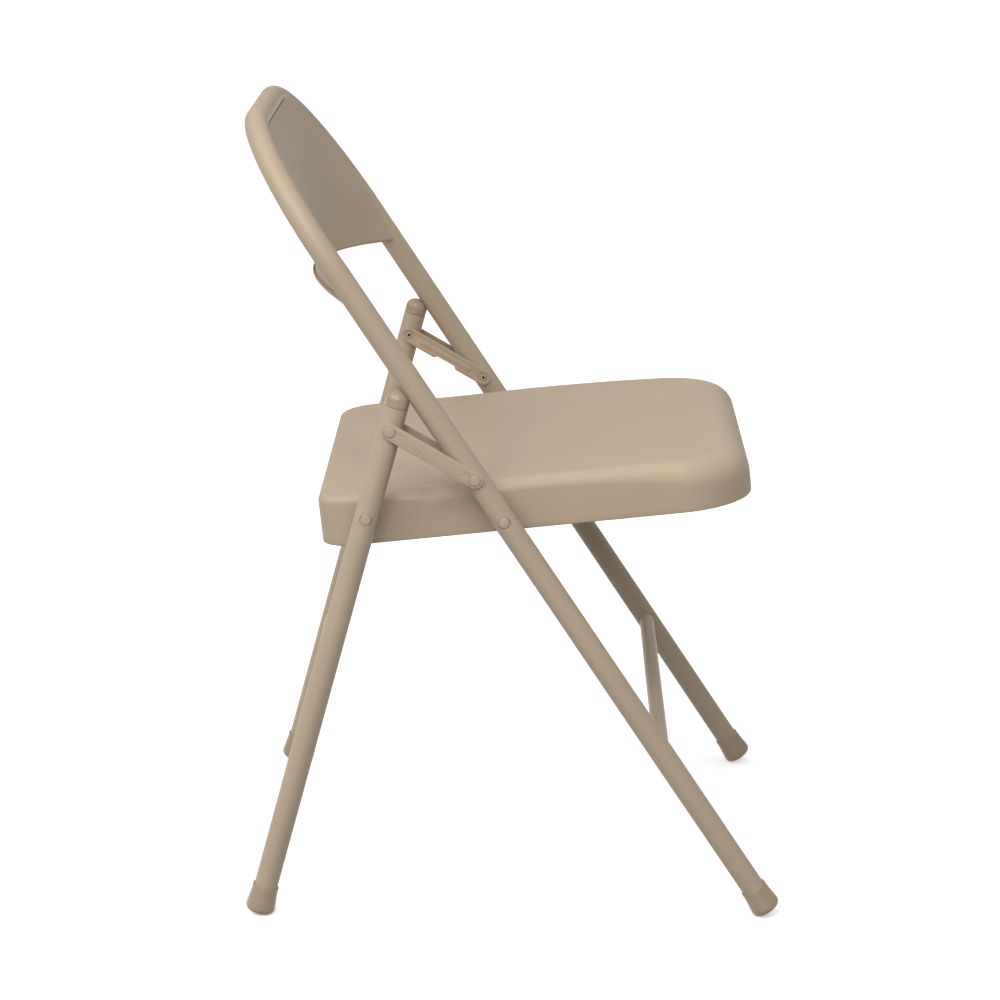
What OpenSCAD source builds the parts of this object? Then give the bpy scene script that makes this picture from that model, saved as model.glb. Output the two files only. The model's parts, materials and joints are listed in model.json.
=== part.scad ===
// Steel folding chair: a bent tube front frame with a sheet back, a pressed sheet seat,
// a pair of rear legs, and two links each side that fold the rear legs flat behind the
// frame. The sitter faces -Y, +Z is up, and the floor is z = 0. Right means the sitter's
// right hand, at -X. Stations are distances along a leg from where its axis meets the floor.

/* [Front frame] */
// Distance from the centre plane to the axis of every leg
leg_half = 221; // [215:1:235]
// Outside diameter of the tubes
tube_d = 22.2; // [22:0.1:23]
// Wall of the tubes
tube_wall = 1.2; // [1:0.1:1.6]
// Backward lean of the front frame from the vertical
front_lean = 33.3; // [32.9:0.1:33.6]
// Reach of the front legs' axes along the floor, from the middle of the wheelbase
front_reach = 242.8; // [242:0.1:243.5]
// Station of the top rail's axis
rail_s = 879.4; // [860:0.1:900]
// Radius of the two upper bends
bend_r = 143.5; // [135:0.5:155]
// Distance by which the top rail sits behind the plane of the legs
rail_setback = 2.6; // [1:0.1:5]
// Station of the front cross brace
front_brace_s = 193; // [180:1:240]

/* [Rear legs] */
// Forward lean of the rear legs from the vertical
rear_lean = 15.316; // [15.3:0.001:15.33]
// Reach of the rear legs' axes along the floor, from the middle of the wheelbase
rear_reach = 242.79; // [242.5:0.01:243]
// Station where the tube stops and its domed cap begins
rear_tube_end_s = 509.5; // [500:0.5:509.5]
// Station of the centre of the cap's dome
rear_dome_s = 510.5; // [510:0.1:510.6]
// Station of the rear cross brace
rear_brace_s = 170; // [150:1:200]
// Outside diameter of both cross braces
brace_d = 15; // [14:0.5:16]

/* [Pivots] */
// Station of the seat pivot on the front leg
seat_front_s = 460.86; // [460.8:0.01:460.9]
// Station of the link pivot on the front leg
link_front_s = 508.98; // [508.9:0.01:509.0]
// Station of the seat pivot on the rear leg
seat_rear_s = 401.8; // [401.7:0.01:401.9]
// Station of the link pivot on the rear leg
link_rear_s = 487.94; // [487.9:0.01:488.0]
// Diameter of the rivet shanks
shank_d = 6; // [5:0.1:6]
// Diameter of the round heads on the links
link_head_d = 9.7; // [9:0.1:10]
// Diameter of the low heads on the tubes
seat_head_d = 10.2; // [9.6:0.1:10.4]

/* [Links] */
// Thickness of every link plate
link_t = 2; // [1.6:0.1:2]
// Width of the outer link plates
outer_link_w = 15; // [14:0.1:15]
// Width of the inner link plates at their lobes
inner_link_w = 15.6; // [15:0.1:16]

/* [Seat] */
// Half the width of the seat
seat_half = 197; // [190:1:197]
// Upward tilt of the seat towards its front edge
seat_tilt = 6; // [5:0.1:7]
// Distance from the seat pivot forward to the front edge
seat_front = 231.5; // [220:0.5:232]
// Distance from the seat pivot back to the rear edge
seat_back = 172.5; // [165:0.5:175]
// Height of the seat's crest over the pivot
seat_top = 31.5; // [30:0.5:32]
// Depth of the skirt's lower edge under the pivot
seat_drop = 16.5; // [14:0.5:18]
// Plan radius of the front corners
seat_front_r = 66; // [60:1:70]
// Plan radius of the rear corners
seat_rear_r = 30; // [26:1:34]
// Roll radius of the front edge
roll_front = 28; // [28:1:34]
// Roll radius of the rear edge
roll_rear = 7; // [6:0.5:8]
// Depth of the dish in the middle of the seat
dish = 5; // [2:0.5:6]
// Thickness of the seat sheet
sheet_t = 1; // [0.8:0.1:1.2]

/* [Back panel] */
// Station of the panel's lower corners, where they meet the tubes
panel_low_s = 681; // [676:1:690]
// Station of the panel's straight top edge
panel_top_s = 870; // [866:0.5:870]
// Distance by which the lower edge is bowed backward at its middle
panel_bow = 48; // [40:1:54]
// Rise of the lower edge from the corners to its middle
panel_arch = 45; // [35:1:48]
// Diameter of the rolled bead along the lower edge
bead_d = 6; // [5:0.5:7]

/* [Feet] */
// Outside diameter of the foot caps
foot_d = 26.5; // [25.5:0.1:27]
// Length of the foot caps
foot_len = 27; // [24:1:30]
// Depth of the worn flat under each foot cap
foot_flat = 0.6; // [0.4:0.1:0.8]

/* [Hidden] */
$fn = 96;

beige = [0.71, 0.65, 0.56];
beige_dark = [0.66, 0.60, 0.51];
tan_cap = [0.66, 0.58, 0.48];

tube_r = tube_d / 2;
bore_r = tube_r - tube_wall;
bend_s = rail_s - bend_r;
rail_half = leg_half - bend_r;
setback_angle = atan(rail_setback / bend_r);
setback_r = 300;
setback_s = bend_s - setback_r * sin(setback_angle);
slip = 0.05;
joint_gap = 0.3;

// Feet: the cap's floor, its rounded rim, and the station where its bottom face lies
foot_r = foot_d / 2;
foot_floor = 4;
foot_rim = 3;
foot_wall_gap = 0.04;
function foot_s(lean) =
    (foot_r - foot_rim) * tan(lean) + foot_rim / cos(lean) - foot_rim - foot_flat / cos(lean);
front_foot_s = foot_s(front_lean);
rear_foot_s = foot_s(rear_lean);

// The origin is the middle of the bounding box, from the rear foot's edge to the front foot's
function foot_tip(reach, lean, s) =
    reach - (s + foot_rim) * sin(lean) + (foot_r - foot_rim) * cos(lean) + foot_rim;
y_shift = (foot_tip(front_reach, front_lean, front_foot_s)
    - foot_tip(rear_reach, rear_lean, rear_foot_s)) / 2;

// Points of the side view, [forward, up], at a station on either leg
function front_at(s) = [front_reach - s * sin(front_lean), s * cos(front_lean)];
function rear_at(s) = [-rear_reach + s * sin(rear_lean), s * cos(rear_lean)];
seat_pivot = front_at(seat_front_s);
link_pivot = front_at(link_front_s);
seat_rear_pivot = rear_at(seat_rear_s);
link_rear_pivot = rear_at(link_rear_s);

// Where things lie across the chair, for the +X side
tube_out = leg_half + tube_r;
tube_in = leg_half - tube_r;
flat_depth = 0.8;
head_seat_x = tube_out - flat_depth;
spacer_seat_x = tube_in + flat_depth;
outer_link_x = tube_out + joint_gap;
inner_link_x = tube_in - joint_gap - link_t;
plate_t = 2.5;
plate_x = seat_half - sheet_t - slip - plate_t;
shank_r = shank_d / 2;
spacer_r = 5.5;

// Leg frames: x across, y backward from the leg's axis, z up along the axis
module on_front(s = 0) {
    translate([0, y_shift - front_reach, 0]) rotate([-front_lean, 0, 0]) translate([0, 0, s])
        children();
}
module on_rear(s = 0) {
    translate([0, y_shift + rear_reach, 0]) rotate([rear_lean, 0, 0]) translate([0, 0, s])
        children();
}
// Seat frame: origin at the front seat pivot, -y forward along the seat, z out of its top
module on_seat() {
    translate([0, y_shift - seat_pivot[0], seat_pivot[1]]) rotate([-seat_tilt, 0, 0]) children();
}
// Pivot frame on the +X side: z points out along X from the centre plane
module at_pivot(p) {
    translate([0, y_shift - p[0], p[1]]) rotate([0, 90, 0]) children();
}
module both_sides() {
    children();
    mirror([1, 0, 0]) children();
}

// ---- Front frame ----

// Lower stretch of one side, ending in the short bend that sets the top back. The bend laps
// over the runs below and above it, and is fuller than them by a hair.
module side_run(r, low) {
    lap = 0.2;
    swell = 0.06;
    on_front(low) translate([leg_half, 0, 0]) cylinder(r = r, h = setback_s - low);
    on_front(setback_s) translate([leg_half, setback_r, 0]) rotate([0, -90, 0])
        rotate([0, 0, -90 - lap]) rotate_extrude(angle = setback_angle + 2 * lap)
            translate([setback_r, 0]) circle(r = r + swell);
}

// Frame of the set-back top, from the end of the short bend
module on_top() {
    on_front(setback_s) translate([0, setback_r, 0]) rotate([-setback_angle, 0, 0])
        translate([0, -setback_r, 0]) children();
}

module top_run(r) {
    on_top() {
        for (side = [0, 1]) mirror([side, 0, 0])
            translate([rail_half, 0, 0]) rotate([90, 0, 0]) rotate_extrude(angle = 90)
                translate([bend_r, 0]) circle(r = r);
        translate([-rail_half, 0, bend_r]) rotate([0, 90, 0]) cylinder(r = r, h = 2 * rail_half);
    }
}

module frame_run(r, low) {
    both_sides() side_run(r, low);
    top_run(r);
}

// Rivet bore through a tube, with a flat pressed into one or both faces of the tube
module pivot_bore(p, flats) {
    at_pivot(p) {
        translate([0, 0, tube_in - 1]) cylinder(r = shank_r + slip, h = tube_d + 2);
        if (flats) {
            translate([0, 0, head_seat_x]) cylinder(d = seat_head_d + 0.4, h = tube_r);
            translate([0, 0, spacer_seat_x - tube_r]) cylinder(r = spacer_r + 0.2, h = tube_r);
        }
    }
}

module front_frame() {
    low = front_foot_s + foot_floor;
    color(beige) difference() {
        frame_run(tube_r, low);
        frame_run(bore_r, low - 1);
        both_sides() {
            pivot_bore(seat_pivot, true);
            pivot_bore(link_pivot, false);
        }
    }
}

// ---- Back panel ----
// A grid of rows up the panel and columns across it. Its sides land on the tubes, low on
// their inner faces at the bottom and nearer their front at the top.

panel_rows = 16;
panel_cols = 36;
bead_rows = 7;
panel_t = 1;
land_low = 15;
land_high = 48;
function smooth(t) = let (c = min(max(t, 0), 1)) c * c * (3 - 2 * c);
function land_angle(s) = land_low + (land_high - land_low) * smooth((s - panel_low_s) / 75);
function land_r(a) = tube_r + 0.25 + panel_t * sin(a);
function panel_half(s) = let (a = land_angle(s), in_r = bend_r - land_r(a) * cos(a))
    s < bend_s ? leg_half - bend_r + in_r
    : rail_half + sqrt(in_r * in_r - (s - bend_s) * (s - bend_s));
function panel_lift(s) = let (a = land_angle(s))
    land_r(a) * sin(a) - max(0, s - bend_s) * tan(setback_angle);
// Rows are close together over the bead, then even up to the top edge
function row_s(i) = i < bead_rows ? i * bead_d / (bead_rows - 1)
    : bead_d + (i - bead_rows + 1) / panel_rows * (panel_top_s - panel_low_s - bead_d);
function bead_lift(d) = d >= bead_d ? 0
    : sqrt(max(0, pow(bead_d / 2, 2) - pow(d - bead_d / 2, 2)));
function panel_point(i, j, back) =
    let (d = row_s(i), s = panel_low_s + d, up = d / (panel_top_s - panel_low_s),
        t = 2 * j / panel_cols - 1, belly = 1 - pow(abs(t), 1.9),
        rear = back ? panel_t + 1.5 * bead_lift(d) : 0,
        lift = panel_lift(s) - panel_bow * pow(1 - up, 1.15) * belly)
    [panel_half(s) * t, rear - lift, s + panel_arch * pow(1 - up, 1.3) * belly];

module back_panel() {
    rows = bead_rows + panel_rows;
    cols = panel_cols + 1;
    sheet = rows * cols;
    points = [for (back = [false, true], i = [0:rows - 1], j = [0:panel_cols])
        panel_point(i, j, back)];
    function at(k, i, j) = k * sheet + i * cols + j;
    faces = concat(
        [for (i = [0:rows - 2], j = [0:panel_cols - 1]) for (f = [
            [at(0, i, j), at(0, i + 1, j), at(0, i + 1, j + 1)],
            [at(0, i, j), at(0, i + 1, j + 1), at(0, i, j + 1)],
            [at(1, i, j), at(1, i + 1, j + 1), at(1, i + 1, j)],
            [at(1, i, j), at(1, i, j + 1), at(1, i + 1, j + 1)]]) f],
        [for (j = [0:panel_cols - 1]) for (f = [
            [at(0, 0, j), at(0, 0, j + 1), at(1, 0, j + 1)],
            [at(0, 0, j), at(1, 0, j + 1), at(1, 0, j)],
            [at(0, rows - 1, j), at(1, rows - 1, j + 1), at(0, rows - 1, j + 1)],
            [at(0, rows - 1, j), at(1, rows - 1, j), at(1, rows - 1, j + 1)]]) f],
        [for (i = [0:rows - 2]) for (f = [
            [at(0, i, 0), at(1, i + 1, 0), at(0, i + 1, 0)],
            [at(0, i, 0), at(1, i, 0), at(1, i + 1, 0)],
            [at(0, i, cols - 1), at(0, i + 1, cols - 1), at(1, i + 1, cols - 1)],
            [at(0, i, cols - 1), at(1, i + 1, cols - 1), at(1, i, cols - 1)]]) f]
    );
    color(beige) on_front() polyhedron(points, faces);
}

// ---- Cross braces, with ends coped to sit on the legs ----

module brace_bar() {
    difference() {
        translate([-leg_half, 0, 0]) rotate([0, 90, 0]) difference() {
            cylinder(d = brace_d, h = 2 * leg_half);
            translate([0, 0, -1]) cylinder(d = brace_d - 2 * tube_wall, h = 2 * leg_half + 2);
        }
        for (x = [-leg_half, leg_half]) translate([x, 0, -tube_d])
            cylinder(r = tube_r + slip, h = 2 * tube_d);
    }
}

module front_cross_brace() {
    color(beige_dark) on_front(front_brace_s) brace_bar();
}

module rear_cross_brace() {
    color(beige_dark) on_rear(rear_brace_s) brace_bar();
}

// ---- Foot caps ----

// Profile of a cup: a floor with a rounded rim below, and a sleeve round the tube
module foot_profile() {
    in_r = tube_r + foot_wall_gap;
    difference() {
        union() {
            translate([0, foot_rim]) square([foot_r, foot_len - foot_rim]);
            square([foot_r - foot_rim, foot_rim + 0.01]);
            intersection() {
                translate([foot_r - foot_rim, foot_rim]) circle(r = foot_rim, $fn = 48);
                square([foot_r, foot_rim + 0.01]);
            }
        }
        translate([-1, foot_floor]) square([in_r + 1, foot_len]);
    }
}

module foot_cup() {
    translate([leg_half, 0, 0]) rotate_extrude() foot_profile();
}

// Everything under the floor plane, which gives each cap its small worn flat
module under_floor() {
    translate([0, 0, -50]) cube([800, 800, 100], center = true);
}

module front_foot() {
    color(tan_cap) difference() {
        on_front(front_foot_s) foot_cup();
        under_floor();
    }
}

module rear_foot() {
    color(tan_cap) difference() {
        on_rear(rear_foot_s) foot_cup();
        under_floor();
    }
}

module front_foot_left() {
    front_foot();
}
module front_foot_right() {
    mirror([1, 0, 0]) front_foot();
}
module rear_foot_left() {
    rear_foot();
}
module rear_foot_right() {
    mirror([1, 0, 0]) rear_foot();
}

// ---- Rear legs and their caps ----

module rear_leg() {
    low = rear_foot_s + foot_floor;
    color(beige) difference() {
        on_rear(low) translate([leg_half, 0, 0]) cylinder(r = tube_r, h = rear_tube_end_s - low);
        on_rear(low - 1) translate([leg_half, 0, 0])
            cylinder(r = bore_r, h = rear_tube_end_s - low + 2);
        pivot_bore(seat_rear_pivot, true);
        pivot_bore(link_rear_pivot, false);
    }
}

module rear_leg_left() {
    rear_leg();
}
module rear_leg_right() {
    mirror([1, 0, 0]) rear_leg();
}

// Domed plug: a collar of the tube's own diameter, a dome, and a spigot inside the tube
module rear_cap() {
    spigot = 8;
    color(tan_cap) on_rear() translate([leg_half, 0, 0]) rotate_extrude() {
        translate([0, rear_tube_end_s + slip])
            square([tube_r, rear_dome_s - rear_tube_end_s - slip]);
        intersection() {
            translate([0, rear_dome_s]) circle(r = tube_r);
            translate([0, rear_dome_s - 0.01]) square([tube_r, 2 * tube_r]);
        }
        translate([0, rear_tube_end_s - spigot]) square([bore_r - slip, spigot + 1]);
    }
}

module rear_cap_left() {
    rear_cap();
}
module rear_cap_right() {
    mirror([1, 0, 0]) rear_cap();
}

// ---- Links: an outer and an inner plate each side, from the front leg to the rear leg ----

link_run = link_rear_pivot - link_pivot;
link_len = norm(link_run);
link_angle = atan2(link_run[1], -link_run[0]);

// Link frame: origin at the front pivot, x along the link, z out along X
module on_link(x) {
    translate([x, y_shift - link_pivot[0], link_pivot[1]]) rotate([link_angle, 0, 0])
        rotate([90, 0, 90]) children();
}

module outer_link() {
    w = outer_link_w;
    color(beige) on_link(outer_link_x) difference() {
        linear_extrude(link_t) {
            for (x = [0, link_len]) translate([x, 0]) circle(d = w);
            translate([0, -w / 2]) square([link_len, w]);
        }
        for (x = [0, link_len]) translate([x, 0, -1])
            cylinder(r = shank_r + 2 * slip, h = link_t + 2);
    }
}

module outer_link_left() {
    outer_link();
}
module outer_link_right() {
    mirror([1, 0, 0]) outer_link();
}

// The inner plate's lower edge is relieved by a notch that clears the seat pivot when folded
module inner_link() {
    w = inner_link_w;
    notch = 5;
    a = 0.33 * link_len;
    b = 0.62 * link_len;
    dimple_r = 5.4;
    dimple_depth = 0.7;
    color(beige_dark) on_link(inner_link_x) difference() {
        linear_extrude(link_t) {
            for (x = [0, link_len]) translate([x, 0]) circle(d = w);
            polygon([[0, -w / 2], [a, -w / 2], [a + 3, -notch], [b - 3, -notch], [b, -w / 2],
                [link_len, -w / 2], [link_len, w / 2], [0, w / 2]]);
        }
        for (x = [0, link_len]) translate([x, 0, 0]) {
            translate([0, 0, -1]) cylinder(r = shank_r + 2 * slip, h = link_t + 2);
            translate([0, 0, -1]) cylinder(r = dimple_r, h = 1 + dimple_depth);
        }
    }
}

module inner_link_left() {
    inner_link();
}
module inner_link_right() {
    mirror([1, 0, 0]) inner_link();
}

// ---- Rivets. Their axis is z, pointing out, with z = 0 in the centre plane ----

// Low round head whose flat underside lies at z
module head(z, d, h) {
    edge = 0.5;
    dome_r = (pow(d / 2, 2) + pow(h - edge, 2)) / (2 * (h - edge));
    translate([0, 0, z]) {
        cylinder(d = d, h = edge);
        translate([0, 0, edge]) rotate_extrude() intersection() {
            translate([0, h - edge - dome_r]) circle(r = dome_r);
            square([d / 2, h]);
        }
    }
}

// Rolled end of a tubular rivet: a ring round a small hole
module rolled_end(z) {
    ring = 0.85;
    translate([0, 0, z]) rotate_extrude() translate([shank_r - ring, 0]) circle(r = ring, $fn = 32);
}

// Solid rivet through both links and the tube, its far end hollow and rolled
module link_rivet(p) {
    end_x = inner_link_x + 0.1;
    head_x = outer_link_x + link_t + slip;
    hole = 1.35;
    at_pivot(p) difference() {
        union() {
            translate([0, 0, end_x]) cylinder(r = shank_r, h = head_x - end_x + 0.1);
            head(head_x, link_head_d, 1.6);
            rolled_end(end_x);
        }
        translate([0, 0, end_x - 2]) cylinder(r = hole, h = 8);
    }
}

module link_front_rivets() {
    color(beige) both_sides() link_rivet(link_pivot);
}

module link_rear_rivets() {
    color(beige) both_sides() link_rivet(link_rear_pivot);
}

inner_head_t = 1.8;

// Seat pivot rivet: head on the tube, shank through the spacer, the skirt and the plate
module seat_pivot_rivets() {
    color(beige) both_sides() at_pivot(seat_pivot) {
        translate([0, 0, plate_x - slip - 0.1])
            cylinder(r = shank_r, h = head_seat_x - plate_x + slip + 0.2);
        head(head_seat_x, seat_head_d, 1.9);
        translate([0, 0, plate_x - slip - inner_head_t]) cylinder(r = 5, h = inner_head_t);
    }
}

// Rear rivet of the seat: it ends at the skirt's face, where the linkage is left open
open_gap = 0.4;
module seat_rear_rivets() {
    color(beige) both_sides() at_pivot(seat_rear_pivot) {
        translate([0, 0, seat_half + open_gap])
            cylinder(r = shank_r, h = head_seat_x - seat_half - open_gap + 0.1);
        head(head_seat_x, seat_head_d, 1.9);
    }
}

module spacer(p, gap) {
    at_pivot(p) difference() {
        translate([0, 0, seat_half + gap]) cylinder(r = spacer_r, h = spacer_seat_x - seat_half - gap);
        translate([0, 0, seat_half - 1]) cylinder(r = shank_r + slip, h = tube_d);
    }
}

module seat_pivot_spacers() {
    color(beige_dark) both_sides() spacer(seat_pivot, 2 * slip);
}

module seat_rear_spacers() {
    color(beige_dark) both_sides() spacer(seat_rear_pivot, open_gap);
}

// Far half of the rear pivot, fixed in the seat's skirt: a flush stud with an upset head
module seat_rear_studs() {
    color(beige_dark) both_sides() at_pivot(seat_rear_pivot) {
        translate([0, 0, plate_x - slip - 0.1])
            cylinder(r = shank_r, h = seat_half - plate_x + slip + 0.1);
        translate([0, 0, plate_x - slip - inner_head_t]) cylinder(r = 5, h = inner_head_t);
    }
}

// ---- Seat pan ----
// Rings of points round the plan outline: from the middle of the top, over the rolled edge,
// down the skirt, and back up inside the sheet. Forward is -y in the seat frame.

corner_steps = 10;
side_steps = 6;
end_steps = 5;

// One corner's arc, and one straight stretch, each as [x, forward, normal x, normal forward]
function corner(cx, cf, r, a) = [for (k = [0:corner_steps]) let (t = a + 90 * k / corner_steps)
    [cx + r * cos(t), cf + r * sin(t), cos(t), sin(t)]];
function stretch(p, q, steps) = [for (k = [1:steps - 1]) let (t = k / steps)
    [p[0] + (q[0] - p[0]) * t, p[1] + (q[1] - p[1]) * t, p[2], p[3]]];
front_x = seat_half - seat_front_r;
rear_x = seat_half - seat_rear_r;
front_f = seat_front - seat_front_r;
rear_f = seat_rear_r - seat_back;
c1 = corner(front_x, front_f, seat_front_r, 0);
c2 = corner(-front_x, front_f, seat_front_r, 90);
c3 = corner(-rear_x, rear_f, seat_rear_r, 180);
c4 = corner(rear_x, rear_f, seat_rear_r, 270);
outline = concat(
    c1, stretch(c1[corner_steps], c2[0], end_steps),
    c2, stretch(c2[corner_steps], c3[0], side_steps),
    c3, stretch(c3[corner_steps], c4[0], end_steps),
    c4, stretch(c4[corner_steps], c1[0], side_steps)
);
count = len(outline);

// The roll grows from the rear to the front, and is fuller across the front edge
function roll_at(p) = let (along = smooth((p[1] + seat_back) / (seat_front + seat_back)))
    roll_rear + (roll_front - roll_rear) * (0.45 * along + 0.55 * smooth((p[1] - 90) / 140));
// The crest falls a little towards the front and the rear
function crest(f) = seat_top - 2.6 * pow(f / 200, 2);

roll_steps = 6;
dish_steps = 5;
function roll_ring(step, off) = let (a = 90 * step / roll_steps)
    [for (p = outline) let (r = roll_at(p) - off, in = off + r * (1 - cos(a)),
        c = crest(p[1]) - roll_at(p))
        [p[0] - in * p[2], -(p[1] - in * p[3]), c + r * sin(a)]];
function skirt_ring(z, off) = [for (p = outline) [p[0] - off * p[2], -(p[1] - off * p[3]), z]];
mid_f = (seat_front - seat_back) / 2;
function dish_ring(step, off) = let (t = 1 - step / dish_steps)
    [for (p = outline) let (in = roll_at(p), x = (p[0] - in * p[2]) * t,
        f = mid_f + (p[1] - in * p[3] - mid_f) * t)
        [x, -f, crest(f) - off - dish * (1 - t * t) * (1 - 0.35 * t)]];
pan_rings = concat(
    [for (k = [dish_steps - 1:-1:1]) dish_ring(k, 0)],
    [for (k = [roll_steps:-1:0]) roll_ring(k, 0)],
    [skirt_ring(-seat_drop + 1, 0), skirt_ring(-seat_drop, 0.3)],
    [skirt_ring(-seat_drop, sheet_t)],
    [for (k = [0:roll_steps]) roll_ring(k, sheet_t)],
    [for (k = [1:dish_steps - 1]) dish_ring(k, sheet_t)]
);

module pan_shell() {
    rings = len(pan_rings);
    outer_pole = [0, -mid_f, crest(mid_f) - dish];
    inner_pole = outer_pole - [0, 0, sheet_t];
    points = concat([outer_pole], [for (ring = pan_rings, p = ring) p], [inner_pole]);
    last = len(points) - 1;
    function at(i, j) = 1 + i * count + j % count;
    faces = concat(
        [for (j = [0:count - 1]) [0, at(0, j), at(0, j + 1)]],
        [for (i = [0:rings - 2], j = [0:count - 1]) for (f = [
            [at(i, j), at(i + 1, j), at(i + 1, j + 1)],
            [at(i, j), at(i + 1, j + 1), at(i, j + 1)]]) f],
        [for (j = [0:count - 1]) [last, at(rings - 1, j + 1), at(rings - 1, j)]]
    );
    polyhedron(points, faces);
}

module seat_pan() {
    color(beige) difference() {
        on_seat() pan_shell();
        both_sides() for (p = [seat_pivot, seat_rear_pivot]) at_pivot(p)
            translate([0, 0, seat_half - 10]) cylinder(r = shank_r + 2 * slip, h = 20);
    }
}

// Strap inside each skirt that carries both pivots
module seat_pivot_plates() {
    w = 17;
    run = seat_rear_pivot - seat_pivot;
    color(beige_dark) both_sides() difference() {
        translate([plate_x, y_shift - seat_pivot[0], seat_pivot[1]])
            rotate([atan2(run[1], -run[0]), 0, 0]) rotate([90, 0, 90]) linear_extrude(plate_t) {
                for (x = [0, norm(run)]) translate([x, 0]) circle(d = w);
                translate([0, -w / 2]) square([norm(run), w]);
            }
        for (p = [seat_pivot, seat_rear_pivot]) at_pivot(p) translate([0, 0, plate_x - 1])
            cylinder(r = shank_r + 2 * slip, h = plate_t + 2);
    }
}

// Channel under the seat, welded between the two pivot plates
module seat_cross_channel() {
    w = 36;
    depth = 12;
    t = 1.5;
    top = 20;
    f = 24;
    half = plate_x - 0.4;
    color(beige_dark) on_seat() translate([-half, -f - w / 2, top - depth]) difference() {
        cube([2 * half, w, depth]);
        translate([-1, t, -1]) cube([2 * half + 2, w - 2 * t, depth - t + 1]);
    }
}

front_frame();
back_panel();
front_cross_brace();
front_foot_right();
front_foot_left();
seat_pivot_rivets();
seat_pivot_spacers();
link_front_rivets();
seat_pan();
seat_cross_channel();
seat_pivot_plates();
seat_rear_studs();
outer_link_right();
outer_link_left();
inner_link_right();
inner_link_left();
rear_leg_right();
rear_leg_left();
rear_cross_brace();
rear_foot_right();
rear_foot_left();
rear_cap_right();
rear_cap_left();
link_rear_rivets();
seat_rear_rivets();
seat_rear_spacers();
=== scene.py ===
import json
import math

import bmesh
import bpy
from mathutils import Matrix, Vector


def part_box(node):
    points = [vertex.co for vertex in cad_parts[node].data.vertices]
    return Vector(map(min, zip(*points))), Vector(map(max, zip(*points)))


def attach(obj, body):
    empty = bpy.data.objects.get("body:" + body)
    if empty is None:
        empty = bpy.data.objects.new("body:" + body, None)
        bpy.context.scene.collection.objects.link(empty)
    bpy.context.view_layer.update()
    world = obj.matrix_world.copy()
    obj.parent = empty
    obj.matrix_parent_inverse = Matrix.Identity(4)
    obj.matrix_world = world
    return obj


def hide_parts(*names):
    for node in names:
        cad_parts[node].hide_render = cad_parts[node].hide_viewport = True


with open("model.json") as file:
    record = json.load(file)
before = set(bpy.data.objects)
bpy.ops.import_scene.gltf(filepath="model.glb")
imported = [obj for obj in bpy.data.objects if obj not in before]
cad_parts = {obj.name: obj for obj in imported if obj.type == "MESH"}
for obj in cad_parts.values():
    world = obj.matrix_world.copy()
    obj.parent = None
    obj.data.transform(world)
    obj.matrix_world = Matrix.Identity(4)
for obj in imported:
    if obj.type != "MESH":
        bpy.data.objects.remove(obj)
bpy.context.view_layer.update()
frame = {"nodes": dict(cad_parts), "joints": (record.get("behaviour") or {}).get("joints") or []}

mm = 0.001

# ---- Camera and studio ----
# The chair stands alone on a plain white floor that runs out of sight. A broad soft light hangs
# over it, a little behind the back rest, and a second one fills in from the chair's right. Two
# small ones give the glossy caps their high spots, and the dome behind is dimmer towards the floor.

camera_data = bpy.data.cameras.new("camera")
camera_data.lens = 113.16
camera_data.shift_x = 0.0006
camera_data.shift_y = -0.0020
camera = bpy.data.objects.new("camera", camera_data)
camera.location = (-3.00343, -0.02278, 1.12281)
camera.rotation_euler = (math.pi / 2 - 0.2521, 0, 0.0125 - math.pi / 2)
bpy.context.scene.collection.objects.link(camera)
bpy.context.scene.camera = camera
bpy.context.scene.view_settings.view_transform = "Standard"

floor_size = 60
floor_white = 0.93
floor_glow = 0.42
floor_mesh = bpy.data.meshes.new("floor")
floor_mesh.from_pydata([(x * floor_size, y * floor_size, 0) for x, y in
                        ((-1, -1), (1, -1), (1, 1), (-1, 1))], [], [(0, 1, 2, 3)])
floor_paper = bpy.data.materials.new("floor_paper")
floor_paper.use_nodes = True
paper = floor_paper.node_tree.nodes["Principled BSDF"].inputs
paper["Base Color"].default_value = (floor_white, floor_white, floor_white, 1)
paper["Roughness"].default_value = 0.9
paper["Emission Color"].default_value = (1, 1, 1, 1)
paper["Emission Strength"].default_value = floor_glow
floor_mesh.materials.append(floor_paper)
floor = bpy.data.objects.new("floor", floor_mesh)
floor.visible_diffuse = False
bpy.context.scene.collection.objects.link(floor)


def aimed(name, kind, place, target, power, tint):
    """A light at a place, turned to face a target."""
    lamp = bpy.data.lights.new(name, kind)
    lamp.energy = power
    lamp.color = tint
    light = bpy.data.objects.new(name, lamp)
    light.location = place
    light.rotation_euler = (Vector(target) - Vector(place)).to_track_quat("-Z", "Y").to_euler()
    bpy.context.scene.collection.objects.link(light)
    return lamp


seat_middle = (0, 0, 0.4)
overhead = aimed("overhead", "SUN", (-1.2, 1.9, 3.0), seat_middle, 1.25, (1.0, 0.985, 0.96))
overhead.angle = math.radians(60)
side_fill = aimed("side_fill", "AREA", (-1.75, 0.2, 1.45), seat_middle, 12, (1.0, 0.985, 0.965))
side_fill.size = 1.1
for name, place in (("high_spot_rear", (-1.5, 1.3, 2.1)), ("high_spot_front", (-1.7, 0.2, 2.3))):
    aimed(name, "AREA", place, seat_middle, 5, (1.0, 0.98, 0.95)).size = 0.16


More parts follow.
